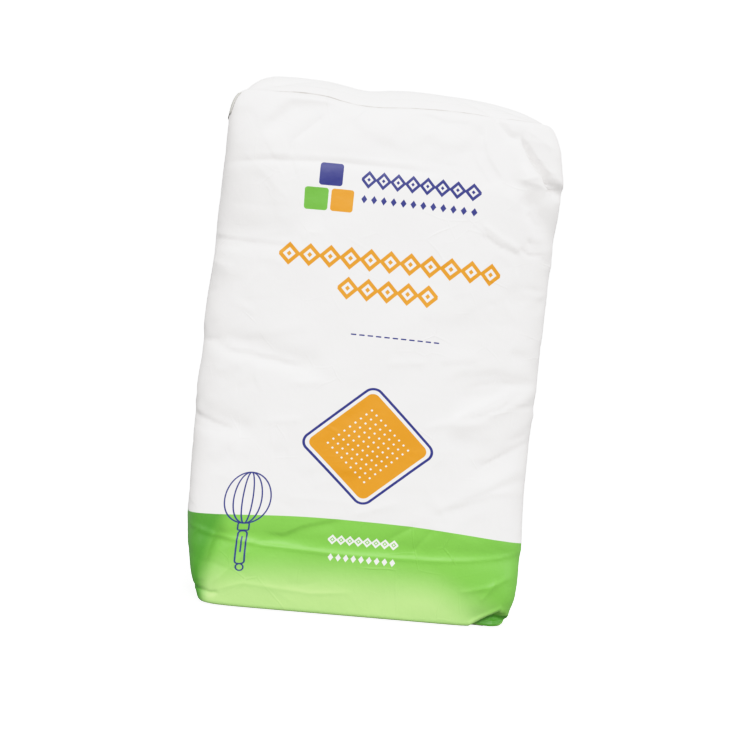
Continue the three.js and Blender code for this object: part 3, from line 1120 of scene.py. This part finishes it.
class PrintDesign:
    """Shapes drawn by their distances on the paper's own coordinates, in millimetres."""

    NO_REPEAT = 2000.0

    def __init__(self, tree: bpy.types.NodeTree) -> None:
        """Reads the paper coordinates and turns them to millimetres."""
        self.tree = tree
        paper = add_node(tree, "ShaderNodeUVMap", {"uv_map": "paper"})
        self.place = work_out(tree, paper, ("MULTIPLY", (1.0 / MM,) * 3))

    def box(self, place: Any, centre: Place, half: Place, radius: float) -> bpy.types.NodeSocket:
        """Distance to a rounded box.

        Args:
            place: Socket of the place.
            centre: Middle of the box.
            half: Half its width and height.
            radius: Radius of its corners.

        Returns:
            The distance, negative inside.
        """
        core = (half[0] - radius, half[1] - radius, 0.0)
        return work_out(self.tree, place, ("SUBTRACT", (*centre, 0.0)), ("ABSOLUTE",), ("SUBTRACT", core),
                        ("MAXIMUM", (0.0, 0.0, 0.0)), ("LENGTH",), ("SUBTRACT", radius))

    def oval(self, centre: Place, half: Place) -> bpy.types.NodeSocket:
        """Distance to an oval, about right near its edge.

        Args:
            centre: Middle of the oval.
            half: Half its width and height.

        Returns:
            The distance, negative inside.
        """
        squeeze = (1.0 / half[0], 1.0 / half[1], 0.0)
        shape = work_out(self.tree, self.place, ("SUBTRACT", (*centre, 0.0)), ("MULTIPLY", squeeze))
        slope = work_out(self.tree, shape, ("MULTIPLY", squeeze), ("LENGTH",), ("MAXIMUM", 1e-4))
        size = work_out(self.tree, shape, ("LENGTH",))
        return work_out(self.tree, size, ("SUBTRACT", 1.0), ("MULTIPLY", size), ("DIVIDE", slope))

    def lozenge(self, place: Any, half: Place) -> bpy.types.NodeSocket:
        """Distance to a lozenge about the origin.

        Args:
            place: Socket of the place.
            half: Half its width and height.

        Returns:
            The distance, negative inside.
        """
        steepness = half[0] * half[1] / math.hypot(*half)
        return work_out(self.tree, place, ("ABSOLUTE",), ("DOT_PRODUCT", (1.0 / half[0], 1.0 / half[1], 0.0)),
                        ("SUBTRACT", 1.0), ("MULTIPLY", steepness))

    def line_of(self, distance: Any, stroke: float) -> bpy.types.NodeSocket:
        """Distance to a line of a given breadth along the edge of a shape."""
        return work_out(self.tree, distance, ("ABSOLUTE",), ("SUBTRACT", stroke / 2.0))

    def nearest(self, *distances: Any) -> bpy.types.NodeSocket:
        """Distance to the nearest of several shapes."""
        return work_out(self.tree, distances[0], *(("MINIMUM", other) for other in distances[1:]))

    def cover(self, distance: Any, softness: float = 0.35) -> bpy.types.NodeSocket:
        """Ink cover from 0 to 1, with the soft edge of print on paper."""
        return add_node(self.tree, "ShaderNodeMapRange", {"clamp": True},
                        {"Value": distance, "From Min": softness, "From Max": -softness})

    def ink(self, under: Any, colour: Any, cover: Any) -> bpy.types.NodeSocket:
        """Lays a colour over what lies under it, for an ink as for the painted shade and painted reflection.
        """
        return add_node(self.tree, "ShaderNodeMix", {"data_type": "RGBA"},
                        {"Factor": cover, "A": under, "B": colour}, out=2)

    def stamp(self, under: Any, ink: Ink, *distances: Any) -> bpy.types.NodeSocket:
        """Prints shapes in one ink over what lies under them."""
        return self.ink(under, linear(ink.value), self.cover(self.nearest(*distances)))

    def cells(self, centre: Place, pitch: float) -> bpy.types.NodeSocket:
        """Place within cells that repeat along a row.

        Args:
            centre: Middle of one of the cells.
            pitch: From one to the next.

        Returns:
            The place, from the middle of its cell.
        """
        high = (pitch / 2.0, self.NO_REPEAT, 1.0)
        low = (-pitch / 2.0, -self.NO_REPEAT, -1.0)
        return work_out(self.tree, self.place, ("SUBTRACT", (*centre, 0.0)), ("WRAP", high, low))


@dataclass(frozen=True)
class Row:
    """A row of like shapes about its middle."""

    centre: Place
    count: int
    pitch: float

    END_RADIUS = 0.5

    def cell(self, design: PrintDesign) -> bpy.types.NodeSocket:
        """Place within the row's cells."""
        shift = 0.0 if self.count % 2 else self.pitch / 2.0
        return design.cells((self.centre[0] + shift, self.centre[1]), self.pitch)

    def within(self, design: PrintDesign, shape: Any, half_height: float) -> bpy.types.NodeSocket:
        """Distance to the part of repeated shapes that the row holds.

        Args:
            design: The print.
            shape: Distance to the repeated shapes.
            half_height: Half the height of the row.

        Returns:
            The distance, negative inside.
        """
        half = (self.pitch * self.count / 2.0, half_height)
        room = design.box(design.place, self.centre, half, self.END_RADIUS)
        return work_out(design.tree, shape, ("MAXIMUM", room))


@dataclass(frozen=True)
class Chain(Row):
    """A chain of outlined lozenges with a small solid one in each."""

    height: float
    stroke: float

    INSET = 0.3
    SEED_WIDTH = 0.13
    SEED_HEIGHT = 0.14

    def distance(self, design: PrintDesign) -> bpy.types.NodeSocket:
        """Distance to the chain.

        Args:
            design: The print.

        Returns:
            The distance, negative inside.
        """
        cell = self.cell(design)
        inset = self.stroke * self.INSET
        rim = design.lozenge(cell, (self.pitch / 2.0 - inset, self.height / 2.0 - inset))
        seed = design.lozenge(cell, (self.pitch * self.SEED_WIDTH, self.height * self.SEED_HEIGHT))
        return self.within(design, design.nearest(design.line_of(rim, self.stroke), seed), self.height)


@dataclass(frozen=True)
class Beads(Row):
    """A row of small solid lozenges."""

    half: Place

    def distance(self, design: PrintDesign) -> bpy.types.NodeSocket:
        """Distance to the row, negative inside."""
        return self.within(design, design.lozenge(self.cell(design), self.half), self.half[1] * 2.0)


@dataclass(frozen=True)
class Dashes(Row):
    """A fine dashed rule."""

    half: Place
    radius: float
    room: float

    def distance(self, design: PrintDesign) -> bpy.types.NodeSocket:
        """Distance to the rule, negative inside."""
        dash = design.box(self.cell(design), (0.0, 0.0), self.half, self.radius)
        return self.within(design, dash, self.room)


@dataclass(frozen=True)
class RimFoldPaintedShade:
    """A thin line of painted shade along the fold of the front rim, standing in for the shadow in the fold,
    broken as real folds are.
    """

    centre: Place = (-10.0, 596.6)
    half: Place = (172.0, 0.55)
    radius: float = 0.3
    softness: float = 0.5
    patch_scale: float = 0.035
    patch_ends: Place = (0.3, 0.55)
    faintest: float = 0.2
    # Colour of the painted shade in the fold.
    shade: str = "9c9894"

    def printed(self, design: PrintDesign, colour: Any) -> bpy.types.NodeSocket:
        """Draws the line of painted shade.

        Args:
            design: The print.
            colour: What lies under it.

        Returns:
            The colour with the painted shade on it.
        """
        offset = work_out(design.tree, design.place, ("SUBTRACT", (*self.centre, 0.0)))
        line = design.cover(design.box(offset, (0.0, 0.0), self.half, self.radius), self.softness)
        patches = add_node(design.tree, "ShaderNodeTexNoise",
                           inputs={"Vector": offset, "Scale": self.patch_scale, "Detail": 2.0})
        shown = add_node(design.tree, "ShaderNodeMapRange", inputs={
            "Value": patches, "From Min": self.patch_ends[0], "From Max": self.patch_ends[1],
            "To Min": self.faintest})
        return design.ink(colour, linear(self.shade), work_out(design.tree, line, ("MULTIPLY", shown)))


@dataclass(frozen=True)
class GreenFootPaintedLight:
    """The green foot of the print, its tone painted with light: a painted reflection of the bright floor
    makes it lightest low in the middle, and painted shade makes it deepest at the left and darker at the
    right edge, round the sides and in the hollow under the bottom right fold.

    Its fades are pairs of places on the paper, from where each starts to where it is complete.
    """

    top: float = 114.6
    # Where the painted reflection fades in, low in the middle.
    light: Place = (79.0, 22.0)
    lean: float = 0.22
    right: Place = (80.0, 195.0)
    behind: Place = (-370.0, -420.0)
    left: Place = (-160.0, -184.0)
    held_up: float = 38.0
    side_depth: float = 0.007
    # Painted shade in the hollow under the bottom right fold.
    hollow: Place = (161.0, 22.0)
    hollow_turn: float = 0.3
    hollow_squeeze: Place = (0.62, 1.9)
    hollow_fade: Place = (15.0, 8.0)

    def printed(self, design: PrintDesign, colour: Any) -> bpy.types.NodeSocket:
        """Prints the foot with its painted reflection and painted shade.

        Args:
            design: The print.
            colour: What lies under it.

        Returns:
            The colour with the foot on it.
        """
        tree = design.tree
        up = work_out(tree, design.place, ("DOT_PRODUCT", (0.0, 1.0, 0.0)))
        across = work_out(tree, design.place, ("DOT_PRODUCT", (1.0, 0.0, 0.0)))
        slant = work_out(tree, design.place, ("DOT_PRODUCT", (1.0, -self.lean, 0.0)))
        from_hollow = work_out(tree, design.place, ("SUBTRACT", (*self.hollow, 0.0)))
        along_fold = add_node(tree, "ShaderNodeVectorRotate", {"rotation_type": "Z_AXIS"},
                              {"Vector": from_hollow, "Angle": -self.hollow_turn})
        away = work_out(tree, along_fold, ("MULTIPLY", (*self.hollow_squeeze, 0.0)), ("LENGTH",))
        fades = ((across, self.right, self.held_up), (slant, self.behind, self.held_up),
                 (slant, self.left, 1.0), (away, self.hollow_fade, 1.0))
        right, behind, left, hollow = (
            add_node(tree, "ShaderNodeMapRange", EASED,
                     {"Value": value, "From Min": ends[0], "From Max": ends[1], "To Max": most})
            for value, ends, most in fades)
        turned_away = work_out(tree, right, ("ADD", behind))
        held = work_out(tree, up, ("ADD", turned_away))
        # Painted reflection: the foot lightens low in the middle.
        low = add_node(tree, "ShaderNodeMapRange", EASED,
                       {"Value": held, "From Min": self.light[0], "From Max": self.light[1]})
        in_front = add_node(tree, "ShaderNodeMapRange",
                            inputs={"Value": behind, "From Min": self.held_up, "From Max": 0.0})
        side = work_out(tree, turned_away, ("MULTIPLY", self.side_depth))
        # Painted shade: deeper at the left, at the right edge, round the sides and in the hollow.
        deep = work_out(tree, left, ("MULTIPLY", in_front), ("ADD", side), ("ADD", hollow))
        green = design.ink(linear(Ink.GREEN_MID.value), linear(Ink.GREEN_PAINTED_REFLECTION.value), low)
        green = design.ink(green, linear(Ink.GREEN_PAINTED_SHADE.value), deep)
        return design.ink(colour, green, design.cover(work_out(tree, up, ("SUBTRACT", self.top))))


@dataclass(frozen=True)
class Emblem:
    """Three stacked cubes beside a chain of lozenges and a row of beads."""

    cubes: tuple[tuple[Place, Ink], ...] = (
        ((-89.0, 477.0), Ink.LEAF), ((-60.5, 477.0), Ink.ORANGE), ((-74.8, 505.5), Ink.NAVY),
    )
    cube_half: Place = (12.8, 12.8)
    cube_radius: float = 3.4
    chain: Chain = Chain((27.0, 503.5), 8, 17.0, 18.0, 3.4)
    beads: Beads = Beads((27.0, 481.0), 12, 11.4, (3.6, 5.0))

    def printed(self, design: PrintDesign, colour: Any) -> bpy.types.NodeSocket:
        """Prints the emblem.

        Args:
            design: The print.
            colour: What lies under it.

        Returns:
            The colour with the emblem on it.
        """
        for centre, ink in self.cubes:
            cube = design.box(design.place, centre, self.cube_half, self.cube_radius)
            colour = design.stamp(colour, ink, cube)
        return design.stamp(colour, Ink.NAVY, self.chain.distance(design), self.beads.distance(design))


@dataclass(frozen=True)
class Lines:
    """Rows of shapes in one ink, which stand where lines of a title or notes would."""

    ink: Ink
    rows: tuple[Any, ...]

    def printed(self, design: PrintDesign, colour: Any) -> bpy.types.NodeSocket:
        """Prints the rows over a colour."""
        return design.stamp(colour, self.ink, *(row.distance(design) for row in self.rows))


@dataclass(frozen=True)
class Badge:
    """A large orange lozenge with a navy frame and a lattice of white cubes on it."""

    centre: Place = (-0.5, 201.5)
    squeeze: float = 1.12
    field_half: float = 50.5
    field_radius: float = 9.0
    frame_half: float = 55.8
    frame_radius: float = 12.0
    frame_stroke: float = 3.3
    cube_pitch: float = 8.2
    cube_half: float = 1.0
    cube_radius: float = 0.35
    lattice_half: float = 36.9
    lattice_radius: float = 2.0

    def printed(self, design: PrintDesign, colour: Any) -> bpy.types.NodeSocket:
        """Prints the badge.

        Args:
            design: The print.
            colour: What lies under it.

        Returns:
            The colour with the badge on it.
        """
        tree = design.tree
        middle = (0.0, 0.0)
        squeezed = work_out(tree, design.place, ("SUBTRACT", (*self.centre, 0.0)),
                            ("MULTIPLY", (1.0, self.squeeze, 1.0)))
        turned = add_node(tree, "ShaderNodeVectorRotate", {"rotation_type": "Z_AXIS"},
                          {"Vector": squeezed, "Angle": math.pi / 4.0})
        field = design.box(turned, middle, (self.field_half,) * 2, self.field_radius)
        frame_edge = design.box(turned, middle, (self.frame_half,) * 2, self.frame_radius)
        colour = design.stamp(colour, Ink.ORANGE, field)
        colour = design.stamp(colour, Ink.NAVY, design.line_of(frame_edge, self.frame_stroke))
        reach = self.cube_pitch / 2.0
        wrapped = work_out(tree, turned, ("WRAP", (reach, reach, 1.0), (-reach, -reach, -1.0)))
        cube = design.box(wrapped, middle, (self.cube_half,) * 2, self.cube_radius)
        inner = design.box(turned, middle, (self.lattice_half,) * 2, self.lattice_radius)
        return design.stamp(colour, Ink.WHITE, work_out(tree, cube, ("MAXIMUM", inner)))


@dataclass(frozen=True)
class Whisk:
    """A kitchen whisk in fine navy lines, its head over the edge of the green.

    Each box is given by its height on the paper, half its width and height, its radius and its stroke.
    """

    middle: float = -127.0
    head_height: float = 134.0
    head_half_height: float = 29.0
    wires: tuple[float, ...] = (24.0, 14.5, 5.2)
    wire_stroke: float = 1.7
    boxes: tuple[tuple[float, Place, float, float], ...] = (
        (101.0, (5.4, 4.2), 1.6, 1.6), (77.5, (4.3, 18.5), 3.4, 1.7),
    )
    ring_height: float = 55.0
    ring_half: Place = (3.4, 3.8)
    ring_stroke: float = 1.5
    mark_height: float = 81.0
    mark_half: Place = (0.8, 9.0)
    mark_radius: float = 0.7

    def printed(self, design: PrintDesign, colour: Any) -> bpy.types.NodeSocket:
        """Prints the whisk.

        Args:
            design: The print.
            colour: What lies under it.

        Returns:
            The colour with the whisk on it.
        """
        head = (self.middle, self.head_height)
        shapes = [design.line_of(design.oval(head, (half, self.head_half_height)), self.wire_stroke)
                  for half in self.wires]
        shapes += [design.line_of(design.box(design.place, (self.middle, height), half, radius), stroke)
                   for height, half, radius, stroke in self.boxes]
        ring = design.oval((self.middle, self.ring_height), self.ring_half)
        mark = design.box(design.place, (self.middle, self.mark_height), self.mark_half, self.mark_radius)
        return design.stamp(colour, Ink.NAVY, *shapes, design.line_of(ring, self.ring_stroke), mark)


@dataclass(frozen=True)
class PaperRelief:
    """Relief of handled paper: fine fibres over soft cockles, with a broken web of hair creases.

    Each web is given by the size of its cells, the depth of its creases and a shift of its patches.
    """

    fibre: float
    cockle: float
    fibre_depth: float = 0.012
    cockle_depth: float = 0.5
    webs: tuple[tuple[float, float, float], ...] = ((92.0, 0.3, 0.0), (47.0, 0.16, 5.0))
    bend: float = 0.3
    hair: float = 1.6
    patch_scale: float = 16.0
    patch_ends: Place = (0.53, 0.68)

    def normal(self, tree: bpy.types.NodeTree) -> bpy.types.NodeSocket:
        """Adds the relief to a material.

        Args:
            tree: The material's node tree.

        Returns:
            The bumped normal.
        """
        place = add_node(tree, "ShaderNodeTexCoord", out="Object")
        soft = add_node(tree, "ShaderNodeTexNoise", inputs={
            "Vector": place, "Scale": 1.0 / (self.cockle * MM), "Detail": 2.0, "Roughness": 0.5})
        fine = add_node(tree, "ShaderNodeTexNoise",
                        inputs={"Vector": place, "Scale": 1.0 / (self.fibre * MM), "Detail": 2.0})
        normal = add_node(tree, "ShaderNodeBump",
                          inputs={"Height": soft, "Strength": 1.0, "Distance": self.cockle_depth * MM})
        for cell, depth, shift in self.webs:
            bent = add_node(tree, "ShaderNodeTexNoise", out="Color",
                            inputs={"Vector": place, "Scale": 1.0 / (cell * MM), "Detail": 1.0})
            push = work_out(tree, bent, ("MULTIPLY_ADD", (self.bend * cell * MM,) * 3, place))
            edge = add_node(tree, "ShaderNodeTexVoronoi", {"feature": "DISTANCE_TO_EDGE"},
                            {"Vector": push, "Scale": 1.0 / (cell * MM)})
            line = add_node(tree, "ShaderNodeMapRange", EASED, {
                "Value": edge, "From Min": 0.0, "From Max": self.hair / cell, "To Min": 1.0, "To Max": 0.0})
            moved = work_out(tree, place, ("ADD", (shift,) * 3))
            patch = add_node(tree, "ShaderNodeTexNoise",
                             inputs={"Vector": moved, "Scale": self.patch_scale, "Detail": 1.0})
            shown = add_node(tree, "ShaderNodeMapRange", inputs={
                "Value": patch, "From Min": self.patch_ends[0], "From Max": self.patch_ends[1]})
            height = work_out(tree, line, ("MULTIPLY", shown))
            normal = add_node(tree, "ShaderNodeBump", inputs={
                "Height": height, "Strength": 1.0, "Distance": depth * MM, "Normal": normal})
        return add_node(tree, "ShaderNodeBump", inputs={
            "Height": fine, "Strength": 1.0, "Distance": self.fibre_depth * MM, "Normal": normal})


@dataclass(frozen=True)
class Paper:
    """A paper: bleached kraft pulp, rolled smooth, so the eye sees a soft sheen over faint fibres.

    Its print and the painted shade and painted reflection among it are drawn on it in order.
    """

    name: str
    colour: str
    roughness: float
    specular: float
    relief: PaperRelief
    prints_and_painted_light: tuple[Any, ...] = ()

    def material(self) -> bpy.types.Material:
        """Builds the material.

        Returns:
            The material.
        """
        made = bpy.data.materials.new(self.name)
        made.use_nodes = True
        tree = made.node_tree
        tree.nodes.clear()
        colour = linear(self.colour)
        if self.prints_and_painted_light:
            design = PrintDesign(tree)
            for motif in self.prints_and_painted_light:
                colour = motif.printed(design, colour)
        shader = add_node(tree, "ShaderNodeBsdfPrincipled", inputs={
            "Base Color": colour, "Roughness": self.roughness, "Specular IOR Level": self.specular,
            "Normal": self.relief.normal(tree),
        })
        tree.links.new(shader, tree.nodes.new("ShaderNodeOutputMaterial").inputs["Surface"])
        return made


# Coated white paper with offset print: satin, with small soft lights along its creases.
PRINTED_PAPER = Paper("satin_coated_printed_paper", "e4e2e1", 0.46, 0.4, PaperRelief(0.9, 14.0), (
    # Painted shade along the fold of the front rim.
    RimFoldPaintedShade(),
    # Green foot with painted reflection and painted shade in its tone.
    GreenFootPaintedLight(),
    Emblem(),
    Lines(Ink.ORANGE, (Chain((2.2, 413.0), 11, 23.2, 23.0, 4.5), Chain((2.6, 379.0), 5, 23.2, 23.0, 4.5))),
    Lines(Ink.NAVY, (Dashes((17.0, 327.5), 11, 9.6, (3.3, 0.9), 0.8, 6.0),)),
    Badge(),
    Lines(Ink.WHITE, (Chain((5.9, 90.5), 8, 10.3, 10.0, 2.0), Beads((5.9, 70.0), 9, 9.1, (3.2, 4.4)))),
    Whisk(),
))

# Uncoated papers: matt, with a visible fibre grain.
COVER_PAPER = Paper("white_cover_paper", "e4e3e2", 0.6, 0.3, PaperRelief(1.2, 9.0))
# Painted shade: the valve lip's paper is given the grey of its shadowed edge.
VALVE_PAPER_PAINTED_SHADE = Paper("valve_paper_painted_shade", "c6c5c0", 0.75, 0.3, PaperRelief(1.2, 9.0))


@dataclass(frozen=True)
class SoftSun:
    """A broad even studio light, so large and far that the whole floor is lit alike."""

    name: str
    towards: tuple[float, float, float]
    angle: float
    strength: float

    def build(self) -> None:
        """Adds the light, shining from the direction given."""
        data = bpy.data.lights.new(self.name, "SUN")
        data.angle = math.radians(self.angle)
        data.energy = self.strength
        light = bpy.data.objects.new(self.name, data)
        bpy.context.scene.collection.objects.link(light)
        light.rotation_euler = Vector(self.towards).to_track_quat("Z", "Y").to_euler()


@dataclass(frozen=True)
class Studio:
    """A plain white studio with the photograph's camera."""

    target: tuple[float, float, float] = (0.0, 0.0, 0.306)
    azimuth: float = -6.2
    elevation: float = 3.2
    roll: float = 6.2
    distance: float = 2.0
    field: float = 0.8905
    sensor: float = 36.0
    shift_x: float = 0.00507
    shift_y: float = -0.032
    floor_size: float = 30.0
    floor_seen: float = 0.97
    floor_bounce: float = 0.38
    floor_glow: float = 1.2
    floor_roughness: float = 0.9
    floor_specular: float = 0.1
    sky: float = 0.78
    seen_white: float = 2.2
    full_white: float = 2.0
    response: tuple[Place, ...] = (
        (0.5, 0.5), (0.7, 0.69), (0.85, 0.8), (0.95, 0.855), (1.1, 0.9), (1.3, 0.93), (1.6, 0.96),
    )
    lights: tuple[SoftSun, ...] = (
        SoftSun("key_light", (0.0, -0.85, 0.5), 12.0, 1.85),
        SoftSun("left_fill", (-0.9, -0.45, 0.35), 30.0, 0.7),
        SoftSun("right_fill", (0.9, -0.45, 0.3), 30.0, 0.7),
    )

    def camera(self) -> None:
        """Adds the camera, rolled so that the sack leans as it does in the photograph."""
        a, e, r = (math.radians(v) for v in (self.azimuth, self.elevation, self.roll))
        back = Vector((math.sin(a) * math.cos(e), -math.cos(a) * math.cos(e), math.sin(e)))
        right = Vector((math.cos(a), math.sin(a), 0.0))
        up = back.cross(right)
        rolled_right = math.cos(r) * right + math.sin(r) * up
        rolled_up = math.cos(r) * up - math.sin(r) * right
        data = bpy.data.cameras.new("camera")
        data.sensor_width = self.sensor
        data.lens = self.sensor * self.distance / self.field
        data.shift_x = self.shift_x
        data.shift_y = self.shift_y
        camera = bpy.data.objects.new("camera", data)
        bpy.context.scene.collection.objects.link(camera)
        place = Vector(self.target) + back * self.distance
        turn = Matrix((rolled_right, rolled_up, back)).transposed().to_4x4()
        camera.matrix_world = Matrix.Translation(place) @ turn
        bpy.context.scene.camera = camera

    def floor(self) -> None:
        """Adds the plain floor: white to the camera, and greyer for the light that it gives back."""
        half = self.floor_size / MM / 2.0
        corners = np.array([(-half, -half, 0.0), (half, -half, 0.0), (half, half, 0.0), (-half, half, 0.0)])
        material = bpy.data.materials.new("matt_studio_floor")
        material.use_nodes = True
        tree = material.node_tree
        shader = tree.nodes["Principled BSDF"]
        looked_at = add_node(tree, "ShaderNodeLightPath", out="Is Camera Ray")
        grey = add_node(tree, "ShaderNodeMapRange",
                        inputs={"Value": looked_at, "To Min": self.floor_bounce, "To Max": self.floor_seen})
        glow = work_out(tree, looked_at, ("MULTIPLY", self.floor_glow))
        tree.links.new(grey, shader.inputs["Base Color"])
        tree.links.new(glow, shader.inputs["Emission Strength"])
        shader.inputs["Emission Color"].default_value = (1.0, 1.0, 1.0, 1.0)
        shader.inputs["Roughness"].default_value = self.floor_roughness
        shader.inputs["Specular IOR Level"].default_value = self.floor_specular
        new_object("floor", mesh_from("floor", corners, [[0, 1, 2, 3]]), material)

    def soften_highlights(self, settings: bpy.types.ColorManagedViewSettings) -> None:
        """Gives the picture a camera's soft highlights, so that lit paper stays below plain white.

        Args:
            settings: The scene's view settings.
        """
        settings.use_curve_mapping = True
        mapping = settings.curve_mapping
        mapping.white_level = (self.full_white,) * 3
        curve = mapping.curves[3]
        for light, shown in self.response:
            curve.points.new(light / self.full_white, shown)
        mapping.update()

    def build(self) -> None:
        """Adds camera, floor, lights and the white surroundings."""
        scene = bpy.context.scene
        scene.view_settings.view_transform = "Standard"
        self.soften_highlights(scene.view_settings)
        world = bpy.data.worlds.new("white_studio")
        world.use_nodes = True
        background = world.node_tree.nodes["Background"]
        background.inputs["Color"].default_value = (1.0, 1.0, 1.0, 1.0)
        looked_at = add_node(world.node_tree, "ShaderNodeLightPath", out="Is Camera Ray")
        strength = add_node(world.node_tree, "ShaderNodeMapRange",
                            inputs={"Value": looked_at, "To Min": self.sky, "To Max": self.seen_white})
        world.node_tree.links.new(strength, background.inputs["Strength"])
        scene.world = world
        self.camera()
        self.floor()
        for light in self.lights:
            light.build()


def place_piece(piece: bpy.types.Object, node: str) -> None:
    """Lets a piece stand for a CAD node and ride with the sack on the root body.

    Args:
        piece: The piece.
        node: The CAD node that it replaces.
    """
    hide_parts(node)
    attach(piece, "root")
    LOG.info("%s: %d faces, stands for %s", piece.name, len(piece.data.polygons), node)


def main() -> None:
    """Builds the sack, its papers and the studio."""
    logging.basicConfig(level=logging.INFO, format="%(message)s")
    Studio().build()
    skin = SackSkin()
    sack = new_object("printed_sack", skin.build(), PRINTED_PAPER.material())
    cover = COVER_PAPER.material()
    top = CoverStrip(End.TOP, 300.0, 102.0, centre_x=-1.0).build("top_strip", sack, cover)
    bottom = CoverStrip(End.BOTTOM, 322.0, 108.0, paper=0.9, ripple=0.0).build("bottom_strip", sack, cover)
    lip = new_object("valve_paper_lip", ValveLip(skin).build(), VALVE_PAPER_PAINTED_SHADE.material())
    place_piece(sack, "paper_sack")
    place_piece(top, "top_cover_strip")
    place_piece(bottom, "bottom_cover_strip")
    place_piece(lip, "valve_lip")


if __name__ == "__main__":
    main()
